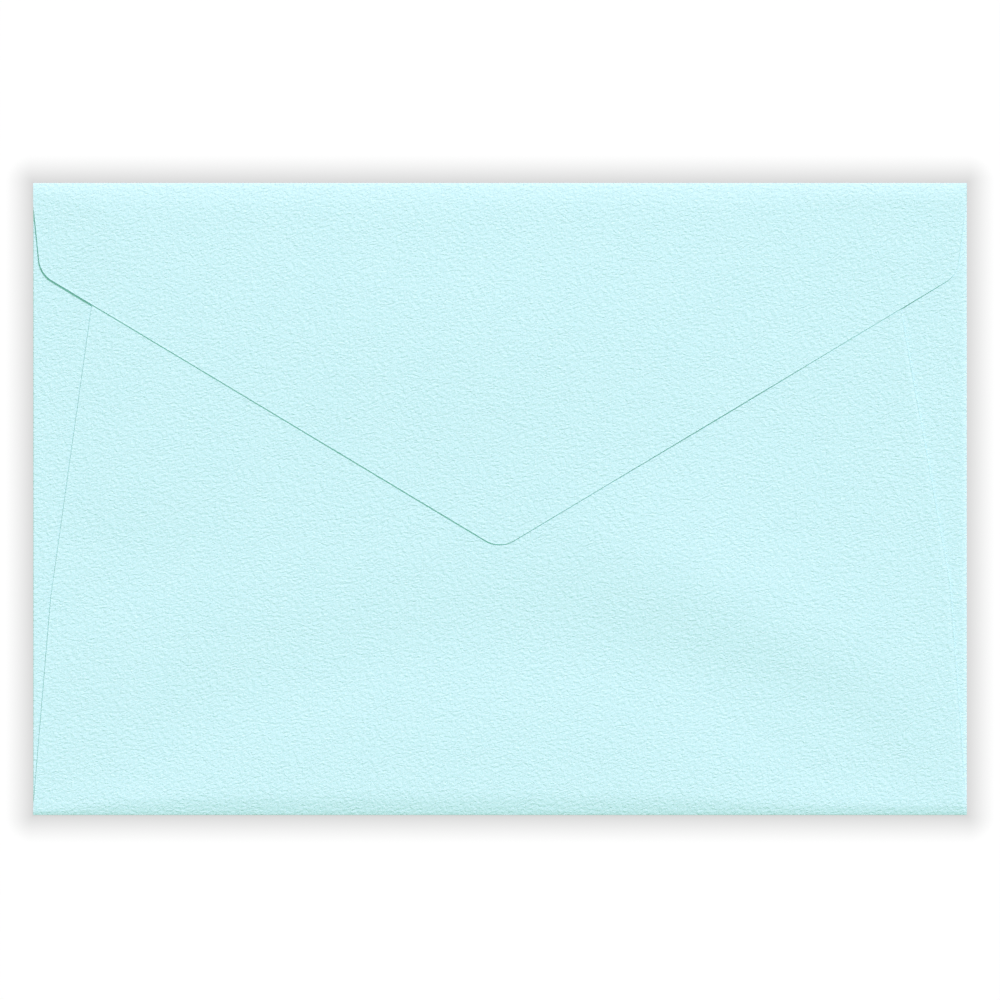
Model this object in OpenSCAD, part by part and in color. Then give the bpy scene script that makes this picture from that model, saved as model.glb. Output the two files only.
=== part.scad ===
// Paper envelope, folded from one sheet and closed, lying on its address side.
// X runs along its width, Y from the bottom fold to the top fold, Z up through the layers.
// The side flaps fold in first, the back panel folds up over them, and the seal flap closes last.

/* [Envelope] */
// Width across the two side folds
env_w = 206.4; // [160:0.1:260]
// Height from the bottom fold to the top fold
env_h = 139.7; // [115:0.1:180]

/* [Paper] */
// Thickness of the paper
paper_t = 0.16; // [0.1:0.01:0.25]
// Air held in the bend of a pressed fold
fold_gap = 0.06; // [0.03:0.01:0.12]
// Air in the empty pocket, between the front panel and the side flaps
pocket_gap = 0.5; // [0.3:0.05:1.5]
// Air under the closed seal flap
flap_gap = 0.05; // [0.03:0.01:0.4]

/* [Folds] */
// Distance over which a leaf rises from the top or bottom fold to its level
rise_l = 8; // [5:0.5:12]
// Distance over which the pocket opens from a side fold to its full depth
opening_l = 30; // [15:1:60]
// Length cut away from a side fold at each corner of the sheet
corner_cut = 1.5; // [1.2:0.1:3]

/* [Seal flap] */
// Depth of the flap from the top fold to its rounded tip
flap_depth = 79.9; // [60:0.1:100]
// Length beside the top fold over which the flap is as wide as the envelope
flap_heel_h = 4.3; // [1:0.1:8]
// Drop from the top fold to the left shoulder
left_shoulder_drop = 20; // [14:0.1:30]
// Drop from the top fold to the right shoulder
right_shoulder_drop = 20.3; // [14:0.1:30]
// Distance of the left shoulder from the side fold
left_shoulder_inset = 1.6; // [0.5:0.1:12]
// Distance of the right shoulder from the side fold
right_shoulder_inset = 2.1; // [0.5:0.1:12]
// Radius of the shoulders
shoulder_r = 6; // [2:0.5:10]
// Radius of the tip
tip_r = 6; // [2:0.5:15]

/* [Back panel] */
// Drop from the top fold to the mouth of the pocket
mouth_drop = 19; // [14:0.5:30]
// Height at which the panel's side edges leave the side folds
heel_h = 1.6; // [1:0.1:6]
// Height of the bend in the left edge
left_bend_h = 48; // [30:0.5:70]
// Height of the bend in the right edge
right_bend_h = 51.5; // [30:0.5:70]
// Distance of the left bend from the side fold
left_bend_inset = 3.9; // [1:0.1:8]
// Distance of the right bend from the side fold
right_bend_inset = 4.4; // [1:0.1:8]
// Distance of the left edge from the side fold at the mouth
left_mouth_inset = 14.1; // [10:0.1:20]
// Distance of the right edge from the side fold at the mouth
right_mouth_inset = 16.9; // [10:0.1:20]
// Radius of the panel's corners at the mouth
mouth_r = 5; // [2:0.5:10]

/* [Side flaps] */
// Width of a side flap from its fold to its inner edge
side_flap_w = 29; // [24:0.5:40]
// Drop of a side flap's top edge from the fold to the inner edge
top_rake = 12; // [5:0.5:16]
// Climb of a side flap's bottom edge from the fold to the inner edge
bottom_rake = 16; // [5:0.5:25]
// Radius of a side flap's inner corners
side_flap_r = 8; // [2:0.5:12]

/* [Hidden] */

// Half sizes of the folded envelope
half_w = env_w / 2;
half_h = env_h / 2;
// Outer radius of a pressed fold
fold_r = paper_t + fold_gap / 2;
// Lower face of a leaf beside its own fold
crease_z = paper_t + fold_gap;
// Lower face of the back panel and of the seal flap, once they have risen
panel_z = 2 * paper_t + pocket_gap;
flap_z = panel_z + paper_t + flap_gap;
// Height of the closed envelope
env_t = flap_z + paper_t;
// Height of the mouth above the bottom fold
mouth_h = env_h - mouth_drop;
// Centre of the seal flap's tip
tip_centre = [0, half_h - flap_depth + tip_r];
// Points in each rounded corner and in each rise
arc_steps = 12;
rise_steps = 8;
// Spare length of the solids that trim a leaf
spare = 1;
paper_colour = [0.80, 0.96, 0.97];

// Share of its full rise that a leaf has reached, steep at the fold and level at the end
function rise(share) = 1 - pow(1 - share, 3);

// Share by which the pocket has opened, level at the side fold and at the end
function opened(share) = share * share * (3 - 2 * share);

function unit(v) = v / norm(v);

// Points along an arc
function arc(centre, r, start, sweep, steps = arc_steps) =
    [for (i = [0:steps]) centre + r * [cos(start + sweep * i / steps), sin(start + sweep * i / steps)]];

// Arc that rounds the corner b of the path a, b, c
function round_corner(a, b, c, r) =
    let (
        u = unit(a - b),
        v = unit(c - b),
        half_angle = acos(u * v) / 2,
        centre = b + unit(u + v) * r / sin(half_angle),
        first = b + u * r / tan(half_angle) - centre,
        turn = cross(b - a, c - b) > 0 ? 1 : -1
    )
    arc(centre, r, atan2(first[1], first[0]), turn * (180 - 2 * half_angle));

// Heights of a leaf that rises from the bottom fold, as far as where it is level
function rising(low, high) =
    [for (i = [0:rise_steps])
        [-half_h + fold_r + rise_l * i / rise_steps, low + (high - low) * rise(i / rise_steps)]];

// Heights of the layers over the pocket, from the left side fold to where it is fully open
function opening(low, high) =
    [for (i = [0:rise_steps])
        [-half_w + fold_r + opening_l * i / rise_steps, low + (high - low) * opened(i / rise_steps)]];

// Mirror image of a list of points, in reverse order
function mirrored(points) =
    [for (i = [len(points) - 1:-1:0]) [-points[i][0], points[i][1]]];

// Lies a section drawn in Y and Z along X
module along_x(length)
    rotate([90, 0, 90]) linear_extrude(height = length, center = true) children();

// Lies a section drawn in X and Z along Y
module along_y(length)
    rotate([90, 0, 0]) linear_extrude(height = length, center = true) children();

// Cuts a leaf to its outline as seen from above
module cut_to(outline)
    intersection() {
        children();
        linear_extrude(height = env_t + spare) polygon(outline);
    }

// Section under a line of heights, down to a base and a little past both its ends
module under_line(line, base) {
    first = line[0];
    last = line[len(line) - 1];
    polygon(concat(
        [[first[0] - spare, base], [first[0] - spare, first[1]]],
        line,
        [[last[0] + spare, last[1]], [last[0] + spare, base]]
    ));
}

// Everything under a layer that rises from low to high above the pocket, where it lies over the
// line of heights from the bottom fold to the top fold
module under_layer(line, low, high, base)
    intersection() {
        along_x(env_w + 2 * spare) under_line(line, base);
        along_y(env_h + 2 * spare)
            under_line(concat(opening(low, high), mirrored(opening(low, high))), base);
    }

// Everything under the glued layers at the back, which rise from both long folds
module under_back(shift, base) {
    rise_up = rising(crease_z + shift, panel_z + shift);
    under_layer(concat(rise_up, mirrored(rise_up)), 2 * fold_r + shift, panel_z + shift, base);
}

// One layer of paper at the back, its lower face shifted from that of the back panel
module back_layer(shift)
    difference() {
        under_back(shift + paper_t, 0);
        under_back(shift, -spare);
    }

// Everything under the seal flap, which rises from the top fold
module under_flap(shift, base) {
    rise_down = mirrored(rising(crease_z + shift, flap_z + shift));
    free_edge = [half_h - flap_depth - spare, flap_z + shift];
    low = 2 * fold_r + flap_z - panel_z + shift;
    under_layer(concat([free_edge], rise_down), low, flap_z + shift, base);
}

// Half-round bend of a pressed fold that opens to the right
module bend_section()
    translate([fold_r, fold_r])
        polygon(concat(
            arc([0, 0], fold_r, 90, 180),
            arc([0, 0], fold_gap / 2, 270, -180)
        ));

// Flat front panel, with its corners square where the side folds stop
module front_panel() {
    linear_extrude(height = paper_t) {
        square([env_w - 2 * fold_r, env_h - 2 * fold_r], center = true);
        for (end = [-1, 1])
            translate([-half_w, end > 0 ? half_h - corner_cut : -half_h + fold_r])
                square([env_w, corner_cut - fold_r]);
    }
}

// Bend along the bottom edge, or along the top edge when mirrored
module long_fold()
    along_x(env_w) translate([-half_h, 0]) bend_section();

// Bend along the left edge, which stops short of both corners
module side_fold()
    along_y(env_h - 2 * corner_cut) translate([-half_w, 0]) bend_section();

// Flap folded in from the left edge
module side_flap() {
    fold_x = -half_w + fold_r;
    edge_x = -half_w + side_flap_w;
    top = half_h - corner_cut;
    top_fold = [fold_x, top];
    top_inner = [edge_x, top - top_rake];
    bottom_inner = [edge_x, -top + bottom_rake];
    bottom_fold = [fold_x, -top];
    cut_to(concat(
        [bottom_fold, top_fold],
        round_corner(top_fold, top_inner, bottom_inner, side_flap_r),
        round_corner(top_inner, bottom_inner, bottom_fold, side_flap_r)
    )) back_layer(-paper_t);
}

// Side edge of the back panel from its fold up to its rounded corner, as seen on the left
function panel_edge(bend_h, bend_inset, mouth_inset) =
    let (
        bend = [-half_w + bend_inset, -half_h + bend_h],
        corner = [-half_w + mouth_inset, -half_h + mouth_h]
    )
    concat(
        [[-half_w, -half_h + fold_r], [-half_w, -half_h + heel_h], bend],
        round_corner(bend, corner, [0, corner[1]], mouth_r)
    );

// Panel folded up from the bottom edge and glued over both side flaps
module back_panel()
    cut_to(concat(
        panel_edge(left_bend_h, left_bend_inset, left_mouth_inset),
        mirrored(panel_edge(right_bend_h, right_bend_inset, right_mouth_inset))
    )) back_layer(0);

// Side of the seal flap from the top fold round its shoulder and half its tip, as seen on the left.
// Its long edge is tangent to the tip.
function flap_side(drop, inset) =
    let (
        top = [-half_w, half_h - fold_r],
        heel = [-half_w, half_h - flap_heel_h],
        shoulder = [-half_w + inset, half_h - drop],
        reach = tip_centre - shoulder,
        slope = atan2(reach[1], reach[0]) - asin(tip_r / norm(reach)),
        point = [0, tip_centre[1] - tip_r / cos(slope)]
    )
    concat(
        [top, heel],
        round_corner(heel, shoulder, point, shoulder_r),
        arc(tip_centre, tip_r, 270 + slope, -slope, arc_steps / 2)
    );

// Pointed flap folded down from the top edge, closed over the back and not sealed
module seal_flap()
    cut_to(concat(
        flap_side(left_shoulder_drop, left_shoulder_inset),
        mirrored(flap_side(right_shoulder_drop, right_shoulder_inset))
    ))
        difference() {
            under_flap(paper_t, 0);
            under_flap(0, -spare);
        }

module envelope() color(paper_colour)
    union() {
        front_panel();
        long_fold();
        mirror([0, 1, 0]) long_fold();
        for (side = [0, 1])
            mirror([side, 0, 0]) {
                side_fold();
                side_flap();
            }
        back_panel();
        seal_flap();
    }

envelope();
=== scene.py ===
import math

import bmesh
import bpy
import numpy as np
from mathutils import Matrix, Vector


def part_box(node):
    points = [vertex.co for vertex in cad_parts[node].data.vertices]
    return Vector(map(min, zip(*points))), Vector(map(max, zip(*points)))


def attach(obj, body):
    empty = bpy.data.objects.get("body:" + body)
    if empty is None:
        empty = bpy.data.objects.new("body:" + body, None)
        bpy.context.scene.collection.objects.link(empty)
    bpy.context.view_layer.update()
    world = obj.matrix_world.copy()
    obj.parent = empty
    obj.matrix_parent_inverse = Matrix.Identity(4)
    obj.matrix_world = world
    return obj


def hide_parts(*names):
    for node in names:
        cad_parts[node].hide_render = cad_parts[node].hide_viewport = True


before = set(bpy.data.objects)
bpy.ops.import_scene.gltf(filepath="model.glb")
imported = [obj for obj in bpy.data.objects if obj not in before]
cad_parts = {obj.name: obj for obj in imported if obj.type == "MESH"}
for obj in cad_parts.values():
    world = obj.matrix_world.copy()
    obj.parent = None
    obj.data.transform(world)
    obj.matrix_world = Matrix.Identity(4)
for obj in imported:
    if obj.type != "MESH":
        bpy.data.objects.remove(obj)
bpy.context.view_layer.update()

# The envelope's sizes are in millimetres, and MM turns them into metres when a mesh is made.
# Left is side -1 and right is side 1, and bottom is end -1 and top is end 1.
MM = 0.001

# Outer size, from the frame
low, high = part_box("envelope")
HALF_W = (high.x - low.x) / 2 / MM
HALF_H = (high.y - low.y) / 2 / MM

# Paper, and the air in a pressed fold, in the empty pocket, and between a side flap and the back
# panel that is glued to it
PAPER_T = 0.16
FOLD_GAP = 0.06
POCKET_GAP = 0.5
GLUE_GAP = 0.04

# Length cut away from a side fold at each corner of the sheet
CORNER_CUT = 1.5

# Seal flap. Its heel is as wide as the envelope, its shoulders have a drop from the top fold and an
# inset from the side folds, and its tip is rounded.
FLAP_DEPTH = 79.9
FLAP_HEEL_H = 4.3
SHOULDER_DROP = {-1: 20.0, 1: 20.3}
SHOULDER_INSET = {-1: 1.6, 1: 2.1}
SHOULDER_R = 6.0
TIP_R = 6.0

# Back panel. Its side edges leave the side folds at the heel, bend once, and lean in to the mouth.
# The right edge's insets were measured better than those of the part, which are 4.4 and 16.9.
MOUTH_DROP = 19.0
HEEL_H = 1.6
BEND_H = {-1: 48.0, 1: 51.5}
BEND_INSET = {-1: 3.9, 1: 3.75}
MOUTH_INSET = {-1: 14.1, 1: 16.2}
MOUTH_R = 5.0

# Side flaps, with slanting ends and rounded inner corners
SIDE_FLAP_W = 29.0
TOP_RAKE = 12.0
BOTTOM_RAKE = 16.0
SIDE_FLAP_R = 8.0

# A round fold, as in the part: its outer radius, the radius and length of the paper's middle in it,
# where the folds start, and where the side folds stop
FOLD_R = PAPER_T + FOLD_GAP / 2
MIDDLE_R = (PAPER_T + FOLD_GAP) / 2
FOLD_L = math.pi * MIDDLE_R
FOLD_X = HALF_W - FOLD_R
FOLD_Y = HALF_H - FOLD_R
CORNER_Y = HALF_H - CORNER_CUT

# Levels, as in the part: the lower face and the middle of a leaf beside its fold, and the lower
# face of the open back panel
CREASE_Z = PAPER_T + FOLD_GAP
LEAF_Z = FOLD_R + MIDDLE_R
PANEL_Z = 2 * PAPER_T + POCKET_GAP

# A fold is pressed sharper by moving its paper outwards, to this power of its share of the way out.
CREASE_POWER = 0.5

# Mesh spacing beside a fold and in the open, and its growth between them. Rows that are closer
# together than ROW_GAP become one.
FINE_STEP = 0.3
OPEN_STEP = 2.0
STEP_GROWTH = 1.3
ROW_GAP = FINE_STEP / 10

# Steps round a fold and round a corner
FOLD_STEPS = 8
ARC_STEPS = 12

# Slack where two heights are compared, distance within which grids are welded, and the angle in
# degrees from which an edge is shown sharp
SLACK = 1e-9
WELD = 2e-4
SHARP_ANGLE = 50.0

# Distances over which a leaf rises from the bottom and top folds, and how steeply it sets out
RISE_L = {-1: 10.0, 1: 8.0}
RISE_POWER = 2.8

# The pocket opens from each side fold in soft steps, each with its distance from the fold, its
# length and its height. With the short roll at the fold they reach the open level.
SIDE_STEPS = {
    -1: ((0.0, 22.0, 0.30), (14.0, 32.0, 0.14)),
    1: ((32.0, 40.0, 0.26),),
}
SIDE_ROLL = {-1: 0.0, 1: 0.18}
SIDE_ROLL_L = 0.9

# Beside the bottom and top folds the back panel and the seal flap rise to a first height, and then
# settle slowly to the open level. The seal flap has a short roll at the top fold as well.
PANEL_RISE = {-1: 0.79, 1: 0.40}
FLAP_RISE = 0.54
FLAP_ROLL = 0.05
FLAP_ROLL_L = 1.0
SETTLE_L = 32.0

# Difference in level below which two levels are blended where they meet
BLEND = 0.05

# Lowest level of the back panel: the paper of the front panel and a side flap, and a little air
SUNK_GAP = 0.04
SUNK_Z = 2 * PAPER_T + SUNK_GAP

# The seal flap's underside above the back panel's: nearly touching on the left, a little open
# towards the tip, and pressed down at its right shoulder
FLAP_CLEAR = 0.16
TIP_CLEAR = 0.05
PRESSED = 0.10

# Stretches across the envelope where the air at the tip comes in and goes out again
TIP_OPENS = (-70.0, 10.0)
TIP_CLOSES = (60.0, 80.0)

# The right shoulder is pressed down where only the side flap lies under it: beside the back panel's
# edge, and above its mouth.
PRESSED_SIDE = (88.0, 94.0)
PRESSED_CORNER_X = (50.0, 75.0)
PRESSED_CORNER_Y = (51.0, 64.0)

# The back panel sags under the middle of the seal flap's right edge
SAG = 0.14
SAG_AT = (47.5, 17.5)
SAG_REACH = (24.0, 14.0)

# Cut edges curl up a little, by a height that fades over a length. The back panel's curl stops
# before its edge goes under the seal flap.
FLAP_CURL = 0.03
FLAP_CURL_L = 0.35
PANEL_CURL = {-1: 0.04, 1: 0.07}
PANEL_CURL_L = {-1: 0.35, 1: 3.0}
PANEL_CURL_STOPS = (38.0, 40.0)

# Grooves pressed in just inside the right edges of the seal flap and of the back panel, each with
# its depth and its distance from the edge. The seal flap's starts at its shoulder.
FLAP_GROOVE = (0.15, 0.30)
PANEL_GROOVE = (0.10, 0.22)
GROOVE_W = 0.24
FLAP_GROOVE_STARTS = (46.0, 51.0)

# Soft waves of the closed back: centre, half length, half width, turn in degrees and height
SWELLS = {
    "hollow beside the left seam": (-85, -15, 15, 7, 20, -0.35),
    "ridge across the lower right": (50, -22, 26, 9, -25, 0.45),
    "mound under the middle of the flap": (-5, 32, 35, 14, 0, 0.35),
}

# A shallow valley arches across the lower half: its highest place, its drop at a distance from the
# middle, its half width, its depth, and how far from the side folds it is whole
ARCH_TOP = -32.0
ARCH_DROP = 18.0
ARCH_REACH = 70.0
ARCH_W = 9.0
ARCH_DEPTH = 0.40
ARCH_FADE = 35.0

# Distance from a fold at which waves, curls and grooves are whole
FOLD_FADE = 8.0


def rise(share):
    """Share of its full rise that a leaf has reached, steep at the fold and level at the end."""
    return 1 - (1 - np.clip(share, 0, 1)) ** RISE_POWER


def eased(share):
    """Smooth step from 0 to 1, level at both ends."""
    share = np.clip(share, 0, 1)
    return share * share * (3 - 2 * share)


def ramp(value, start, end):
    """Smooth step from 0 at start to 1 at end."""
    return eased((value - start) / (end - start))


def soft_min(a, b):
    """The smaller of two heights, with the crease where they meet rounded off."""
    near = np.clip(1 - np.abs(a - b) / BLEND, 0, 1)
    return np.minimum(a, b) - near * near * BLEND / 4


def swell(x, y):
    """Height of the soft waves, which fade out at the folds."""
    total = np.zeros(np.broadcast(x, y).shape)
    for centre_x, centre_y, length, width, turn, tall in SWELLS.values():
        along, across = math.cos(math.radians(turn)), math.sin(math.radians(turn))
        u = ((x - centre_x) * along + (y - centre_y) * across) / length
        v = ((y - centre_y) * along - (x - centre_x) * across) / width
        total += tall * np.exp(-(u * u + v * v) / 2)
    from_side, from_end = FOLD_X - np.abs(x), FOLD_Y - np.abs(y)
    off_arch = (y - ARCH_TOP + ARCH_DROP * (x / ARCH_REACH) ** 2) / ARCH_W
    total -= ARCH_DEPTH * np.exp(-off_arch * off_arch / 2) * eased(from_side / ARCH_FADE)
    return total * eased(from_side / FOLD_FADE) * eased(from_end / FOLD_FADE)


def clear_of_front(level, swollen):
    """A swollen level of the back layers, kept from sinking through the layers below."""
    return -soft_min(-swollen, -np.minimum(level, SUNK_Z))


def side_level(x):
    """Lower face of the back panel where only the side folds hold it down."""
    levels = []
    for side, steps in SIDE_STEPS.items():
        off = FOLD_X - side * x
        opened = sum(tall * eased((off - at) / long) for at, long, tall in steps)
        levels.append(2 * FOLD_R + SIDE_ROLL[side] * rise(off / SIDE_ROLL_L) + opened)
    return np.minimum(*levels)


def end_level(end, y, first_rise, full_rise):
    """Level beside a long fold, which rises to its first height and settles to its full one."""
    off = FOLD_Y - end * y
    first = first_rise * rise(off / RISE_L[end])
    return CREASE_Z + first + (full_rise - first_rise) * eased(off / SETTLE_L)


def panel_level(x, y):
    """Lower face of the back panel, and upper face of the side flaps."""
    ends = [end_level(end, y, PANEL_RISE[end], PANEL_Z - CREASE_Z) for end in (-1, 1)]
    level = soft_min(np.minimum(*ends), side_level(x))
    sag = np.exp(-((x - SAG_AT[0]) / SAG_REACH[0]) ** 2 - ((y - SAG_AT[1]) / SAG_REACH[1]) ** 2)
    return clear_of_front(level, level + swell(x, y) - SAG * sag)


def flap_level(x, y):
    """Lower face of the seal flap, which follows the back panel."""
    opening = ramp(x, *TIP_OPENS) * (1 - ramp(x, *TIP_CLOSES))
    in_corner = ramp(x, *PRESSED_CORNER_X) * ramp(y, *PRESSED_CORNER_Y)
    pressed = np.maximum(ramp(x, *PRESSED_SIDE), in_corner)
    clear = FLAP_CLEAR + TIP_CLEAR * opening - PRESSED * pressed
    from_end = end_level(1, y, FLAP_RISE, PANEL_Z + clear - CREASE_Z)
    level = soft_min(from_end, side_level(x) + clear)
    risen = clear * rise((FOLD_Y - y) / RISE_L[1])
    level = clear_of_front(level - risen, level - risen + swell(x, y)) + risen
    return level + FLAP_ROLL * rise((FOLD_Y - y) / FLAP_ROLL_L)


def groove(off, depth, at):
    """Depth of a groove at each distance from an edge."""
    return depth * np.exp(-((off - at) / GROOVE_W) ** 2)


def graded(length):
    """Distances from 0, closely spaced at first, scaled so that the next one would be length."""
    steps, step, reached = [0.0], FINE_STEP, 0.0
    while reached + step < length:
        reached += step
        steps.append(reached)
        step = min(step * STEP_GROWTH, OPEN_STEP)
    return np.array(steps) * length / (reached + step)


def arc(centre, radius, start, sweep):
    """Points along an arc, with its angles in degrees."""
    angles = np.radians(start + sweep * np.arange(ARC_STEPS + 1) / ARC_STEPS)
    x = centre[0] + radius * np.cos(angles)
    y = centre[1] + radius * np.sin(angles)
    return np.column_stack([x, y])


def round_corner(a, b, c, radius):
    """Arc that rounds the corner b of the path a, b, c."""
    a, b, c = (np.array(p, float) for p in (a, b, c))
    u = (a - b) / np.linalg.norm(a - b)
    v = (c - b) / np.linalg.norm(c - b)
    half_angle = math.acos(float(u @ v)) / 2
    middle = (u + v) / np.linalg.norm(u + v)
    centre = b + middle * radius / math.sin(half_angle)
    first = b + u * radius / math.tan(half_angle) - centre
    turn = math.copysign(1, u[1] * v[0] - u[0] * v[1])
    start = math.degrees(math.atan2(first[1], first[0]))
    return arc(centre, radius, start, turn * (180 - 2 * math.degrees(half_angle)))


def seal_flap_edge(side):
    """Side edge of the seal flap, from the top fold round its shoulder to its tip."""
    top = (-HALF_W, FOLD_Y)
    heel = (-HALF_W, HALF_H - FLAP_HEEL_H)
    shoulder = (-HALF_W + SHOULDER_INSET[side], HALF_H - SHOULDER_DROP[side])
    centre = (0.0, HALF_H - FLAP_DEPTH + TIP_R)
    reach = (centre[0] - shoulder[0], centre[1] - shoulder[1])
    slope = math.atan2(reach[1], reach[0]) - math.asin(TIP_R / math.hypot(*reach))
    point = (0.0, centre[1] - TIP_R / math.cos(slope))
    edge = np.vstack([
        [top, heel],
        round_corner(heel, shoulder, point, SHOULDER_R),
        arc(centre, TIP_R, 270 + math.degrees(slope), -math.degrees(slope)),
    ])
    edge[:, 0] *= -side
    return edge


def back_panel_edge(side):
    """Side edge of the back panel, from the bottom fold to the mouth."""
    bend = (-HALF_W + BEND_INSET[side], -HALF_H + BEND_H[side])
    corner = (-HALF_W + MOUTH_INSET[side], HALF_H - MOUTH_DROP)
    edge = np.vstack([
        [(-HALF_W, -FOLD_Y), (-HALF_W, -HALF_H + HEEL_H), bend],
        round_corner(bend, corner, (0.0, corner[1]), MOUTH_R),
    ])
    edge[:, 0] *= -side
    return edge


def side_flap_edge():
    """Inner edge of the left side flap, from the bottom of its fold to the top."""
    inner_x = -HALF_W + SIDE_FLAP_W
    bottom_fold = (-FOLD_X, -CORNER_Y)
    bottom_inner = (inner_x, -CORNER_Y + BOTTOM_RAKE)
    top_inner = (inner_x, CORNER_Y - TOP_RAKE)
    top_fold = (-FOLD_X, CORNER_Y)
    return np.vstack([
        [bottom_fold],
        round_corner(bottom_fold, bottom_inner, top_inner, SIDE_FLAP_R),
        round_corner(bottom_inner, top_inner, top_fold, SIDE_FLAP_R),
        [top_fold],
    ])


def edge_x(edge, y):
    """Where an edge, which runs steadily up or down, is at each height."""
    order = np.argsort(edge[:, 1])
    return np.interp(y, edge[order, 1], edge[order, 0])


def merged(*lists):
    """Sorted values without near repeats."""
    values = np.unique(np.concatenate(lists))
    keep = np.concatenate([[True], np.diff(values) > ROW_GAP])
    return values[keep]


def columns():
    """Positions across the envelope as shares of its width, closely spaced at both sides."""
    left = np.concatenate([[0.0, FOLD_R], FOLD_R + graded(FOLD_X)[1:]])
    x = np.concatenate([-HALF_W + left, [0.0], (HALF_W - left)[::-1]])
    return (x + HALF_W) / (2 * HALF_W)


def heights(start, end):
    """Heights from start to end, closely spaced at the start."""
    return np.append(start + np.sign(end - start) * graded(abs(end - start)), end)


def front_heights():
    """Heights of the front panel's rows, with one at each point of a side flap's inner edge."""
    from_bottom = -FOLD_Y + graded(FOLD_Y)
    from_top = FOLD_Y - graded(FOLD_Y)
    return merged(from_bottom, from_top, [0.0, -CORNER_Y, CORNER_Y], side_flap_edge()[:, 1])


def spread(left, right, y, shares):
    """Grid of x and y with one row for each height, spread from its left edge to its right edge."""
    x = left[:, None] + (right - left)[:, None] * shares[None, :]
    return x, np.repeat(y[:, None], len(shares), axis=1)


def from_edges(x):
    """Distances of a grid's points from its left edge and from its right edge, by side."""
    return {-1: x - x[:, :1], 1: x[:, -1:] - x}


def grid_faces(rows, cols, first):
    """Quads of a grid whose first vertex has the index first."""
    index = first + np.arange(rows * cols).reshape(rows, cols)
    quads = np.stack([index[:-1, :-1], index[:-1, 1:], index[1:, 1:], index[1:, :-1]], axis=-1)
    return quads.reshape(-1, 4)


class Sheet:
    """Middle surface of the folded sheet, put together from grids that share their edges."""

    def __init__(self):
        self.points, self.flat, self.faces, self.count = [], [], [], 0

    def add(self, x, y, z, flat_x, flat_y):
        """Adds a grid of points, with where each lies on the flat sheet."""
        x, y, z, flat_x, flat_y = np.broadcast_arrays(x, y, z, flat_x, flat_y)
        self.faces.append(grid_faces(*x.shape, self.count))
        self.points.append(np.stack([x, y, z], axis=-1).reshape(-1, 3))
        self.flat.append(np.stack([flat_x, flat_y, 0 * x], axis=-1).reshape(-1, 3))
        self.count += x.size

    def mesh(self, name):
        """One mesh in metres, its grids welded, with each point's place on the flat sheet."""
        made = bpy.data.meshes.new(name)
        made.from_pydata(np.vstack(self.points) * MM, [], np.vstack(self.faces).tolist())
        place = made.attributes.new("sheet_place", "FLOAT_VECTOR", "POINT")
        place.data.foreach_set("vector", (np.vstack(self.flat) * MM).ravel())
        welded = bmesh.new()
        welded.from_mesh(made)
        bmesh.ops.remove_doubles(welded, verts=welded.verts, dist=WELD * MM)
        bmesh.ops.recalc_face_normals(welded, faces=welded.faces)
        welded.to_mesh(made)
        welded.free()
        return made


def fold_points():
    """Points round a fold: how far out each is, how high, and how far along the flat paper."""
    turn = np.linspace(0, math.pi, FOLD_STEPS + 1)
    return MIDDLE_R * np.sin(turn), FOLD_R - MIDDLE_R * np.cos(turn), MIDDLE_R * turn


def add_front_panel(sheet, across, up):
    """Flat front panel, whose corners reach past the side folds."""
    inner = across[1:-1]
    sheet.add(inner, up[:, None], PAPER_T / 2, inner, up[:, None])
    for strip in (across[:2], across[-2:]):
        for band in (up[up <= -CORNER_Y + SLACK], up[up >= CORNER_Y - SLACK]):
            sheet.add(strip, band[:, None], PAPER_T / 2, strip, band[:, None])


def add_long_fold(sheet, end, across):
    """Round fold along the bottom or the top edge."""
    out, z, along = fold_points()
    y = end * (FOLD_Y + out)
    flat_y = end * (FOLD_Y + along)
    sheet.add(across, y[:, None], z[:, None], across, flat_y[:, None])


def add_side_fold(sheet, side, held):
    """Round fold along a side edge."""
    out, z, along = fold_points()
    y = held[:, None]
    sheet.add(side * (FOLD_X + out), y, z, side * (FOLD_X + along), y)


def add_side_flap(sheet, side, held):
    """Flap folded in from a side edge, just under the back panel."""
    fold = np.full(len(held), -FOLD_X)
    inner = edge_x(side_flap_edge(), held)
    inward = np.append(graded(SIDE_FLAP_W) / SIDE_FLAP_W, 1.0)
    x, y = spread(fold, inner, held, inward)

    # Each leaf's points at its fold take the level of the fold's last points
    z = panel_level(-side * x, y) - PAPER_T / 2
    z[:, 0] = LEAF_Z
    sheet.add(-side * x, y, z, side * (2 * FOLD_X + FOLD_L + x), y)


def add_back_panel(sheet, shares):
    """Panel folded up from the bottom edge and glued over both side flaps."""
    left, right = back_panel_edge(-1), back_panel_edge(1)
    up = merged(heights(-FOLD_Y, HALF_H - MOUTH_DROP), left[:, 1], right[:, 1])
    x, y = spread(edge_x(left, up), edge_x(right, up), up, shares)
    z = panel_level(x, y) + PAPER_T / 2
    off = from_edges(x)
    curled = sum(PANEL_CURL[side] * np.exp(-off[side] / PANEL_CURL_L[side]) for side in (-1, 1))
    curled -= groove(off[1], *PANEL_GROOVE)
    z += curled * eased((FOLD_Y + y) / FOLD_FADE) * (1 - ramp(y, *PANEL_CURL_STOPS))
    z += GLUE_GAP
    z[0] = LEAF_Z
    sheet.add(x, y, z, x, -2 * FOLD_Y - FOLD_L - y)


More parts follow.
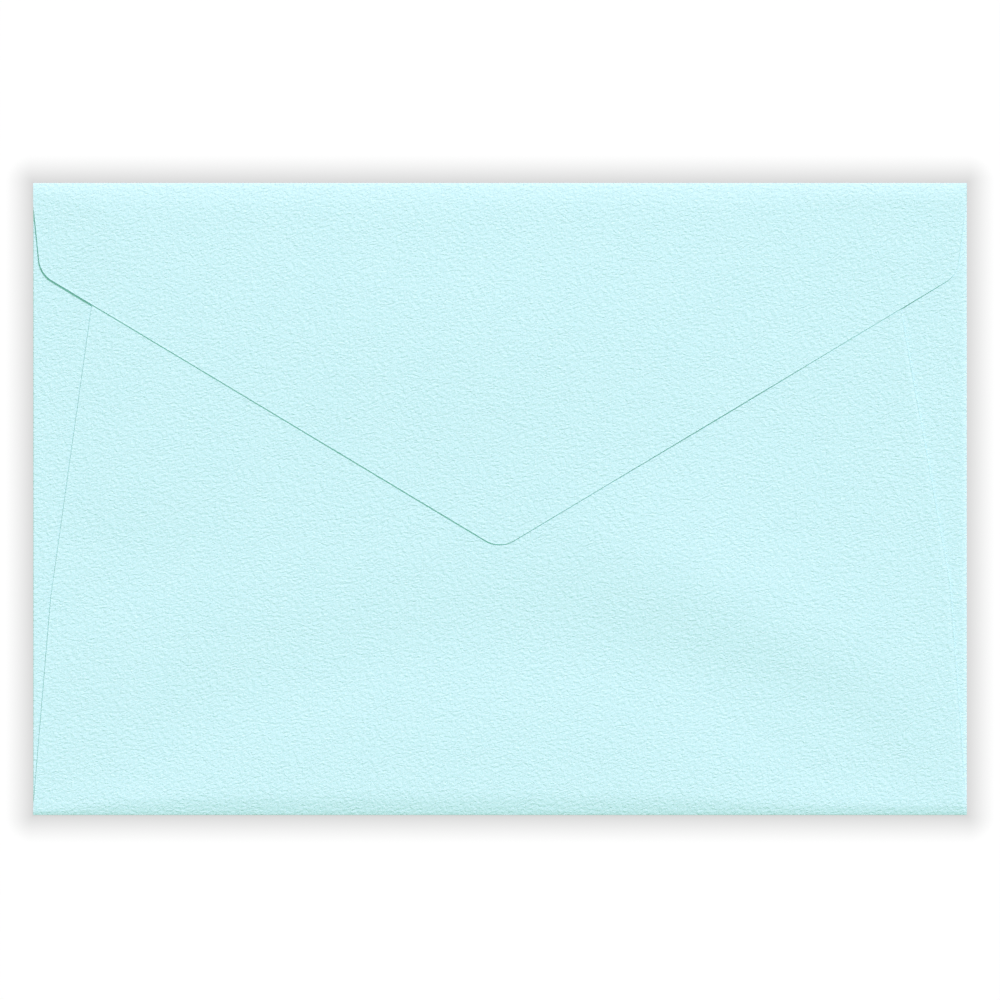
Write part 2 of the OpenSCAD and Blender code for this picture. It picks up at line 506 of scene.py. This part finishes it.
def add_seal_flap(sheet, shares):
    """Pointed flap folded down from the top edge, closed over the back."""
    left, right = seal_flap_edge(-1), seal_flap_edge(1)
    down = merged(heights(FOLD_Y, left[:, 1].min()), left[:, 1], right[:, 1])[::-1]
    x, y = spread(edge_x(left, down), edge_x(right, down), down, shares)
    z = flap_level(x, y) + PAPER_T / 2
    off = from_edges(x)
    curled = FLAP_CURL * sum(np.exp(-off[side] / FLAP_CURL_L) for side in (-1, 1))
    curled -= groove(off[1], *FLAP_GROOVE) * ramp(y, *FLAP_GROOVE_STARTS)
    z += curled * eased((FOLD_Y - y) / FOLD_FADE)
    z[0] = LEAF_Z
    sheet.add(x, y, z, x, 2 * FOLD_Y + FOLD_L - y)


def folded_sheet():
    """The whole envelope as one folded sheet without thickness."""
    sheet = Sheet()
    shares = columns()
    across = -HALF_W + 2 * HALF_W * shares
    up = front_heights()
    add_front_panel(sheet, across, up)
    for end in (-1, 1):
        add_long_fold(sheet, end, across)

    # Only the rows between the corner cuts go on round the side folds
    held = up[np.abs(up) <= CORNER_Y + SLACK]
    for side in (-1, 1):
        add_side_fold(sheet, side, held)
        add_side_flap(sheet, side, held)
    add_back_panel(sheet, shares)
    add_seal_flap(sheet, shares)
    return sheet


def creased(mesh):
    """Presses the round bends of the folds to sharper creases, within the same outer size."""
    places = np.empty(3 * len(mesh.vertices))
    mesh.vertices.foreach_get("co", places)
    places = places.reshape(-1, 3) / MM
    for axis, fold in ((0, FOLD_X), (1, FOLD_Y)):
        share = np.clip((np.abs(places[:, axis]) - fold) / FOLD_R, 0, None)
        moved = np.sign(places[:, axis]) * (fold + FOLD_R * share ** CREASE_POWER)
        places[:, axis] = np.where(share > 0, moved, places[:, axis])
    mesh.vertices.foreach_set("co", (places * MM).ravel())
    mesh.update()


def thickened(mesh, name):
    """A solid object from the middle surface, with its cut edges kept sharp."""
    sheet = bpy.data.objects.new(name + "_middle", mesh)
    bpy.context.collection.objects.link(sheet)
    solid = sheet.modifiers.new("thickness", "SOLIDIFY")
    solid.thickness = PAPER_T * MM
    solid.offset = 0
    solid.use_even_offset = True
    evaluated = sheet.evaluated_get(bpy.context.evaluated_depsgraph_get())
    made = bpy.data.meshes.new_from_object(evaluated)
    bpy.data.objects.remove(sheet)
    made.name = name
    creased(made)
    made.polygons.foreach_set("use_smooth", np.ones(len(made.polygons), bool))
    made.set_sharp_from_angle(angle=math.radians(SHARP_ANGLE))
    paper = bpy.data.objects.new(name, made)
    bpy.context.collection.objects.link(paper)
    return paper


class Nodes:
    """Short calls for building a node tree."""

    def __init__(self, tree):
        self.tree = tree

    def new(self, kind, inputs=None, **settings):
        """A new node, each of its inputs given as a value or as another node's output."""
        node = self.tree.nodes.new(kind)
        for key, value in settings.items():
            setattr(node, key, value)
        for key, value in (inputs or {}).items():
            if isinstance(value, bpy.types.NodeSocket):
                self.tree.links.new(value, node.inputs[key])
            else:
                node.inputs[key].default_value = value
        return node

    def math(self, operation, a, b=0.0, clamp=False):
        """Output of a math node on one or two numbers."""
        node = self.new("ShaderNodeMath", {0: a, 1: b}, operation=operation, use_clamp=clamp)
        return node.outputs[0]

    def vector(self, operation, a, b=(0, 0, 0)):
        """Output of a vector math node on one or two vectors."""
        node = self.new("ShaderNodeVectorMath", {0: a, 1: b}, operation=operation)
        return node.outputs["Value" if operation == "LENGTH" else "Vector"]

    def noise(self, place, scale, detail, roughness, distortion=0.0):
        """Soft noise from 0 to 1, its scale in cells to a metre."""
        node = self.new("ShaderNodeTexNoise", {
            "Vector": place,
            "Scale": scale,
            "Detail": detail,
            "Roughness": roughness,
            "Distortion": distortion,
        }, noise_dimensions="2D")
        return node.outputs["Fac"]


def new_tree(owner):
    """Empty node tree of a material or a world."""
    owner.use_nodes = True
    owner.node_tree.nodes.clear()
    return Nodes(owner.node_tree)


def linear(red, green, blue):
    """Linear colour of an sRGB colour given from 0 to 255."""
    def channel(value):
        share = value / 255
        return share / 12.92 if share <= 0.04045 else ((share + 0.055) / 1.055) ** 2.4
    return (channel(red), channel(green), channel(blue), 1.0)


# Noises in the paper, with their cells to a metre
BENDING = {"scale": 180.0, "detail": 2.0, "roughness": 0.5}
WRINKLES = {"scale": 1850.0, "detail": 2.0, "roughness": 0.5, "distortion": 0.4}
GRAIN = {"scale": 4200.0, "detail": 2.0, "roughness": 0.6}
FIBRES = {"scale": 2600.0, "detail": 2.0, "roughness": 0.6}
CLOUDS = {"scale": 90.0, "detail": 3.0, "roughness": 0.55}

# On the flat sheet the wrinkles wander by up to a distance, are turned by degrees, and have their
# places squeezed, which makes them longer. Under the slanting light they then look nearly level.
WANDER = 1.6 * MM
WRINKLE_TURN = 24.0
WRINKLE_SQUEEZE = 0.55

# Height of the felt's relief, and the share of the wrinkles' height that the grain adds
RELIEF = 0.2 * MM
GRAIN_SHARE = 0.2

# Dyed paper in sRGB, where it takes most and least of the dye, and the clouds' share in that
DEEP_BLUE = (188, 239, 246)
PALE_BLUE = (223, 253, 255)
CLOUD_SHARE = 0.08

# Finish, rougher on top of a wrinkle
LEAST_ROUGH = 0.82
MOST_ROUGH = 0.96
SPECULAR = 0.2


def felt_relief(nodes, place):
    """Short wavy wrinkles that a felt presses into paper, and their bump with the finer grain."""
    wander = nodes.math("MULTIPLY", nodes.noise(place, **BENDING), WANDER)
    drift = nodes.new("ShaderNodeCombineXYZ", {"Y": wander}).outputs[0]
    bent = nodes.vector("ADD", place, drift)
    turned = nodes.new("ShaderNodeVectorRotate", {
        "Vector": bent,
        "Angle": math.radians(WRINKLE_TURN),
    }, rotation_type="Z_AXIS").outputs[0]
    squeezed = nodes.vector("MULTIPLY", turned, (WRINKLE_SQUEEZE, 1.0, 1.0))
    wrinkles = nodes.noise(squeezed, **WRINKLES)
    grain = nodes.math("MULTIPLY", nodes.noise(place, **GRAIN), GRAIN_SHARE)
    height = nodes.math("ADD", wrinkles, grain)
    bump = nodes.new("ShaderNodeBump", {"Strength": 1.0, "Distance": RELIEF, "Height": height})
    return wrinkles, bump.outputs[0]


def dyed_blue(nodes, place):
    """Pale blue, which single fibres and thick and thin places in the pulp make a little uneven."""
    fibres = nodes.math("MULTIPLY", nodes.noise(place, **FIBRES), 1 - CLOUD_SHARE)
    clouds = nodes.math("MULTIPLY", nodes.noise(place, **CLOUDS), CLOUD_SHARE)
    return nodes.new("ShaderNodeMix", {
        "Factor": nodes.math("ADD", fibres, clouds),
        "A": linear(*DEEP_BLUE),
        "B": linear(*PALE_BLUE),
    }, data_type="RGBA").outputs["Result"]


def felt_paper():
    """Matt pale blue paper with a felt-marked surface."""
    material = bpy.data.materials.new("felt_paper")
    nodes = new_tree(material)
    place = nodes.new("ShaderNodeAttribute", attribute_name="sheet_place").outputs["Vector"]
    wrinkles, bump = felt_relief(nodes, place)
    rough = nodes.new("ShaderNodeMapRange", {
        "Value": wrinkles,
        "To Min": LEAST_ROUGH,
        "To Max": MOST_ROUGH,
    }).outputs[0]
    shader = nodes.new("ShaderNodeBsdfPrincipled", {
        "Base Color": dyed_blue(nodes, place),
        "Roughness": rough,
        "Specular IOR Level": SPECULAR,
        "Normal": bump,
    })
    nodes.new("ShaderNodeOutputMaterial", {"Surface": shader.outputs[0]})
    return material


def envelope():
    """The folded sheet, in place of the plain solid."""
    paper = thickened(folded_sheet().mesh("sheet"), "folded_sheet")
    paper.data.materials.append(felt_paper())
    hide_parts("envelope")
    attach(paper, "root")


# Key light: its angle from straight above, its turn from the top fold towards the right, and its
# width, in degrees. KEY_SHARE is its share of the light in red, green and blue, and the even fill
# gives the rest, so a level sheet shows its own colour.
KEY_ZENITH = 50.0
KEY_AZIMUTH = 28.0
KEY_ANGLE = 10.0
KEY_SHARE = (0.70, 0.46, 0.61)

# Floor, in metres. It lies a little below the envelope, so that the two share no plane.
FLOOR_SIZE = 6.0
FLOOR_DROP = 1e-5

# The floor's whole light, a little over white, and the part of it that takes the envelope's shadow
FLOOR_LIGHT = 1.01
FLOOR_DIFFUSE = 0.08

# Soft grey shadow painted into the floor round the envelope: its reach in millimetres, its depth and
# how fast it fades
SHADOW_REACH = 6.6
SHADOW_DEPTH = 0.32
SHADOW_POWER = 1.3

# Brightness of the floor for the light that it sends back to the envelope
BOUNCE = 0.95

# Colour of the floor's own light, and of the surroundings as the picture shows them
WHITE = (1, 1, 1, 1)


def looked_at(nodes):
    """1 for rays that the picture shows, straight, by gloss or through glass, and 0 for the rest."""
    rays = nodes.new("ShaderNodeLightPath").outputs
    straight = nodes.math("ADD", rays["Is Camera Ray"], rays["Is Glossy Ray"])
    return nodes.math("ADD", straight, rays["Is Transmission Ray"], clamp=True)


def white_floor():
    """White with a soft grey shadow painted round the envelope where it is seen, and an even white
    where it lights.
    """
    material = bpy.data.materials.new("white_floor")
    nodes = new_tree(material)

    # Distance from the envelope's outline, with the height left out by a large last value
    spot = nodes.new("ShaderNodeTexCoord").outputs["Object"]
    half_size = (HALF_W * MM, HALF_H * MM, FLOOR_SIZE)
    outside = nodes.vector("SUBTRACT", nodes.vector("ABSOLUTE", spot), half_size)
    distance = nodes.vector("LENGTH", nodes.vector("MAXIMUM", outside))

    # Painted shadow: the floor's colour and glow grow darker towards the envelope's outline
    share = nodes.math("DIVIDE", distance, SHADOW_REACH * MM)
    near = nodes.math("SUBTRACT", 1.0, share, clamp=True)
    painted_shade = nodes.math("MULTIPLY", nodes.math("POWER", near, SHADOW_POWER), SHADOW_DEPTH)
    light = nodes.math("SUBTRACT", 1.0, painted_shade)
    lit = nodes.math("MULTIPLY", light, FLOOR_DIFFUSE)
    grey = nodes.new("ShaderNodeCombineColor", {0: lit, 1: lit, 2: lit}).outputs[0]
    seen = nodes.new("ShaderNodeBsdfDiffuse", {"Color": grey}).outputs[0]
    strength = nodes.math("MULTIPLY", light, FLOOR_LIGHT - FLOOR_DIFFUSE)
    glow = nodes.new("ShaderNodeEmission", {"Color": WHITE, "Strength": strength}).outputs[0]
    shown = nodes.new("ShaderNodeAddShader", {0: seen, 1: glow}).outputs[0]
    bounce = nodes.new("ShaderNodeBsdfDiffuse", {"Color": (BOUNCE, BOUNCE, BOUNCE, 1)}).outputs[0]
    mixed = nodes.new("ShaderNodeMixShader", {0: looked_at(nodes), 1: bounce, 2: shown}).outputs[0]
    nodes.new("ShaderNodeOutputMaterial", {"Surface": mixed})
    return material


def floor():
    """Wide level floor under the envelope."""
    reach, z = FLOOR_SIZE / 2, low.z - FLOOR_DROP
    points = [(-reach, -reach, z), (reach, -reach, z), (reach, reach, z), (-reach, reach, z)]
    mesh = bpy.data.meshes.new("floor")
    mesh.from_pydata(points, [], [(0, 1, 2, 3)])
    mesh.materials.append(white_floor())
    made = bpy.data.objects.new("floor", mesh)
    bpy.context.collection.objects.link(made)


def key_light():
    """A soft key from the upper right."""
    zenith, azimuth = math.radians(KEY_ZENITH), math.radians(KEY_AZIMUTH)
    lamp = bpy.data.lights.new("key", "SUN")
    strongest = max(KEY_SHARE)
    lamp.color = [share / strongest for share in KEY_SHARE]
    lamp.energy = math.pi * strongest / math.cos(zenith)
    lamp.angle = math.radians(KEY_ANGLE)
    key = bpy.data.objects.new("key", lamp)
    key.rotation_euler = (-zenith, 0, -azimuth)
    bpy.context.collection.objects.link(key)


def fill_light():
    """An even fill from all round, which is seen as white."""
    world = bpy.data.worlds.new("studio")
    nodes = new_tree(world)
    rest = tuple(1 - share for share in KEY_SHARE) + (1,)
    fill = nodes.new("ShaderNodeBackground", {"Color": rest, "Strength": 1.0}).outputs[0]
    white = nodes.new("ShaderNodeBackground", {"Color": WHITE, "Strength": 1.0}).outputs[0]
    mixed = nodes.new("ShaderNodeMixShader", {0: looked_at(nodes), 1: fill, 2: white}).outputs[0]
    nodes.new("ShaderNodeOutputWorld", {"Surface": mixed})
    bpy.context.scene.world = world


# The photograph looks straight down. The envelope is 934 of its 1000 pixels wide and lies one
# pixel above its middle.
PHOTO_SIDE = 1000
ENVELOPE_PIXELS = 934
RAISED_PIXELS = 1

# Camera's height and how far it sees, in metres, and its sensor's width in millimetres
CAMERA_HEIGHT = 1.5
CAMERA_REACH = 10.0
SENSOR = 36.0


def camera():
    """Long lens straight above the envelope, with its top fold up in the picture."""
    pixel = 2 * HALF_W * MM / ENVELOPE_PIXELS
    lens = bpy.data.cameras.new("camera")
    lens.sensor_width = SENSOR
    lens.lens = SENSOR * (CAMERA_HEIGHT - high.z) / (pixel * PHOTO_SIDE)
    lens.clip_end = CAMERA_REACH
    made = bpy.data.objects.new("camera", lens)
    made.location = (0, -RAISED_PIXELS * pixel, CAMERA_HEIGHT)
    bpy.context.collection.objects.link(made)
    bpy.context.scene.camera = made


envelope()
floor()
key_light()
fill_light()
camera()
bpy.context.scene.view_settings.view_transform = "Standard"
